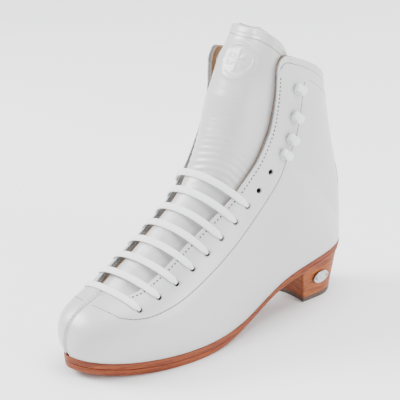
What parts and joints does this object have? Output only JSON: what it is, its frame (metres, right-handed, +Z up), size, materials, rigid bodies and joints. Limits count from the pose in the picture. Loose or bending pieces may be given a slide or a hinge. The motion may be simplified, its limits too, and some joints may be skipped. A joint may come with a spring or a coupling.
{
  "type": "figure skating boot",
  "caption": "High-cut white leather lace-up figure skating boot with a padded tongue, lace hooks, a stacked heel and no blade.",
  "frame": {"origin": "centre of the footprint at floor level", "axes": "+Z up, the toe points to -Y, +X is the outer side of the foot"},
  "size_m": [0.0878, 0.2607, 0.231],
  "materials": {
    "white_leather": "smooth semi-gloss",
    "lining_leather": "matte",
    "grey_felt": "matte",
    "foam": "matte",
    "fibre_board": "matte",
    "sole_leather": "stained and waxed edge",
    "heel_stack": "stained and waxed edge",
    "heel_rubber": "matte",
    "steel": "plain",
    "badge_metal": "worn",
    "eyelet_metal": "plain",
    "white_paint": "gloss",
    "lace_cotton": "woven",
    "clear_tip": "gloss"
  },
  "bodies": {
    "boot": {"outsole": "sole_leather", "midsole": "sole_leather", "shank": "steel", "insole_board": "fibre_board", "sock_liner": "lining_leather", "heel_lift_1": "heel_stack", "heel_lift_2": "heel_stack", "heel_lift_3": "heel_stack", "heel_lift_4": "heel_stack", "heel_lift_5": "heel_stack", "heel_lift_6": "heel_stack", "heel_top_piece": "heel_rubber", "heel_nails": "steel", "heel_badge": "badge_metal", "badge_nails": "badge_metal", "quarter_left": "white_leather", "quarter_right": "white_leather", "lining_left": "lining_leather", "lining_right": "lining_leather", "facing_reinforcement_left": "grey_felt", "facing_reinforcement_right": "grey_felt", "side_interlining_left": "grey_felt", "side_interlining_right": "grey_felt", "toe_puff": "fibre_board", "heel_counter_left": "fibre_board", "heel_counter_right": "fibre_board", "ankle_padding_left": "foam", "ankle_padding_right": "foam", "collar_padding_left": "foam", "collar_padding_right": "foam", "backstay": "grey_felt", "tongue_lower_face": "white_leather", "tongue_lower_foam": "foam", "tongue_lower_lining": "lining_leather", "eyelets_left": "eyelet_metal", "eyelets_right": "eyelet_metal", "hook_left_1": "white_paint", "hook_left_2": "white_paint", "hook_left_3": "white_paint", "hook_left_4": "white_paint", "hook_right_1": "white_paint", "hook_right_2": "white_paint", "hook_right_3": "white_paint", "hook_right_4": "white_paint", "hook_rivets": "eyelet_metal", "lace": "lace_cotton", "lace_tips": "clear_tip"},
    "tongue": {"tongue_upper_face": "white_leather", "tongue_upper_foam": "foam", "tongue_upper_lining": "lining_leather", "tongue_emblem": "white_leather"}
  },
  "joints": [
    {"name": "tongue_fold", "type": "hinge", "parent": "boot", "child": "tongue", "pos_m": [-0.0007, -0.0068, 0.1343], "axis": [1, 0, 0], "range_deg": [0, 35], "stiffness_Nm_per_rad": 0.4}
  ]
}
